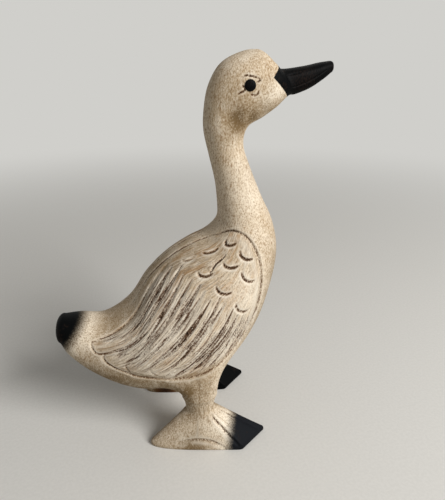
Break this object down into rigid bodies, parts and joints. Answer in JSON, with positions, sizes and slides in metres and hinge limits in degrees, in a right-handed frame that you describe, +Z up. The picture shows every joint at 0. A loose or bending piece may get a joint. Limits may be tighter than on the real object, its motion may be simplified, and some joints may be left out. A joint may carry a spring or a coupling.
{
  "type": "carved goose figurine",
  "caption": "Carved wooden goose standing upright on webbed feet, with a raised neck, gouged wing feathers, a limewashed finish and black bill, tail tip and toes.",
  "frame": {"origin": "middle of the bounding box, at the height of the soles", "axes": "+X the way the goose faces, +Y its left side, +Z up"},
  "size_m": [0.226, 0.1176, 0.319],
  "materials": {
    "wood": "limewashed matt wood with brown stain in the cuts, and black paint on the bill, eyes, tail tip and toes"
  },
  "bodies": {
    "root": {"goose": "wood"}
  },
  "joints": []
}
